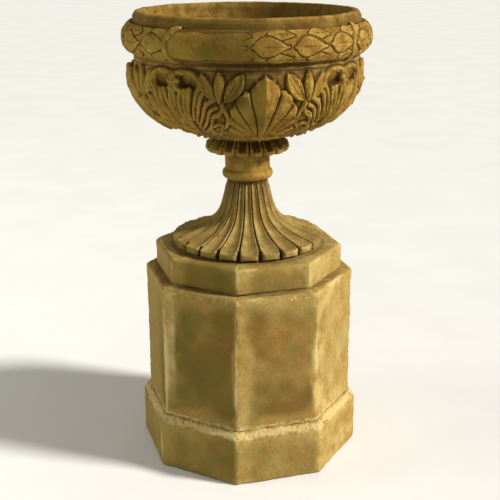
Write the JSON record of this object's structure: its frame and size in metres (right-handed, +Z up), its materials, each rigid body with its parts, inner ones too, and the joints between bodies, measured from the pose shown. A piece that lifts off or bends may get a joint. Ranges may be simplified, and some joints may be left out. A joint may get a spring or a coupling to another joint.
{
  "type": "garden urn on pedestal",
  "caption": "Wide-bowled garden urn with laurel wreath and leaf relief, on a fluted foot and octagonal block, standing on a hollow octagonal pedestal",
  "frame": {"origin": "centre of the base's underside, on the ground", "axes": "+Z up along the axis of the urn and pedestal; X and Y square to two pairs of the octagon's flats"},
  "size_m": [0.657, 0.656, 1.22],
  "materials": {
    "pedestal_stone": "matte",
    "urn_stone": "matte",
    "relief_stone": "matte",
    "mortar": "matte",
    "steel": "satin",
    "rubber": "matte"
  },
  "bodies": {
    "pedestal": {"base_course": "pedestal_stone", "die_bed": "mortar", "die": "pedestal_stone", "die_dowels": "steel", "seat_dowels": "steel", "seat_bed": "mortar"},
    "urn": {"base_block": "urn_stone", "foot_bed": "mortar", "fluted_foot": "urn_stone", "neck_ring": "urn_stone", "petal_collar": "urn_stone", "bowl": "urn_stone", "wreath_ring": "relief_stone", "wreath_leaves": "relief_stone", "wreath_ribbons": "relief_stone", "tie_tube": "steel", "nut_top": "steel", "nut_bottom": "steel", "washer_top": "steel", "washer_bottom": "steel", "gasket": "rubber", "palmette_1": "relief_stone", "palmette_2": "relief_stone", "palmette_3": "relief_stone", "palmette_4": "relief_stone", "sprig_1": "relief_stone", "sprig_2": "relief_stone", "sprig_3": "relief_stone", "sprig_4": "relief_stone", "sprig_5": "relief_stone", "sprig_6": "relief_stone", "sprig_7": "relief_stone", "sprig_8": "relief_stone", "acanthus_1": "relief_stone", "acanthus_2": "relief_stone", "acanthus_3": "relief_stone", "acanthus_4": "relief_stone", "bud_1": "relief_stone", "bud_2": "relief_stone", "bud_3": "relief_stone", "bud_4": "relief_stone", "scroll_1": "relief_stone", "scroll_2": "relief_stone", "scroll_3": "relief_stone", "scroll_4": "relief_stone", "scroll_5": "relief_stone", "scroll_6": "relief_stone", "scroll_7": "relief_stone", "scroll_8": "relief_stone"}
  },
  "joints": [
    {"name": "urn_lift", "type": "slide", "parent": "pedestal", "child": "urn", "axis": [0, 0, 1], "range_m": [0, 0.15]}
  ]
}
